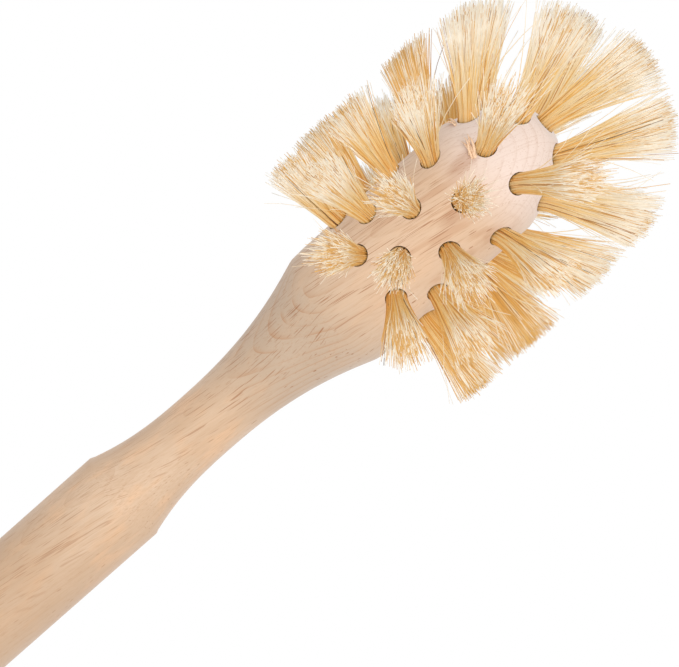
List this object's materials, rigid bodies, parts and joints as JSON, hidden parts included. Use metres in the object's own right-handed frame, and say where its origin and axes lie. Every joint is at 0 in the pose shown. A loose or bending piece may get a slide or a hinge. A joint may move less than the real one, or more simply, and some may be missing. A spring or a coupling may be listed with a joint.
{
  "type": "bottle brush",
  "caption": "Bottle brush with a turned beech handle and a round-ended head of stiff plant-fibre tufts set in rings.",
  "frame": {"origin": "centre of the flat on the butt end of the handle", "axes": "+Z along the brush's axis from the butt to the tip of the head; +X and -Y square to it, with -Y towards the side that the picture shows"},
  "size_m": [0.079, 0.079, 0.3093],
  "materials": {
    "beech_wood": "bare sanded wood",
    "plant_fibre": "dry matt fibre"
  },
  "bodies": {
    "root": {"beech_body": "beech_wood", "tuft_ring1_1": "plant_fibre", "tuft_ring1_2": "plant_fibre", "tuft_ring1_3": "plant_fibre", "tuft_ring1_4": "plant_fibre", "tuft_ring1_5": "plant_fibre", "tuft_ring1_6": "plant_fibre", "tuft_ring1_7": "plant_fibre", "tuft_ring2_1": "plant_fibre", "tuft_ring2_2": "plant_fibre", "tuft_ring2_3": "plant_fibre", "tuft_ring2_4": "plant_fibre", "tuft_ring2_5": "plant_fibre", "tuft_ring2_6": "plant_fibre", "tuft_ring2_7": "plant_fibre", "tuft_ring3_1": "plant_fibre", "tuft_ring3_2": "plant_fibre", "tuft_ring3_3": "plant_fibre", "tuft_ring3_4": "plant_fibre", "tuft_ring3_5": "plant_fibre", "tuft_ring3_6": "plant_fibre", "tuft_ring3_7": "plant_fibre", "tuft_ring4_1": "plant_fibre", "tuft_ring4_2": "plant_fibre", "tuft_ring4_3": "plant_fibre", "tuft_ring4_4": "plant_fibre", "tuft_ring4_5": "plant_fibre", "tuft_ring4_6": "plant_fibre", "tuft_ring4_7": "plant_fibre", "tuft_ring5_1": "plant_fibre", "tuft_ring5_2": "plant_fibre", "tuft_ring5_3": "plant_fibre", "tuft_ring5_4": "plant_fibre", "tuft_ring5_5": "plant_fibre", "tuft_ring5_6": "plant_fibre", "tuft_ring5_7": "plant_fibre", "tuft_nose_1": "plant_fibre", "tuft_nose_2": "plant_fibre", "tuft_nose_3": "plant_fibre", "tuft_tip": "plant_fibre"}
  },
  "joints": []
}
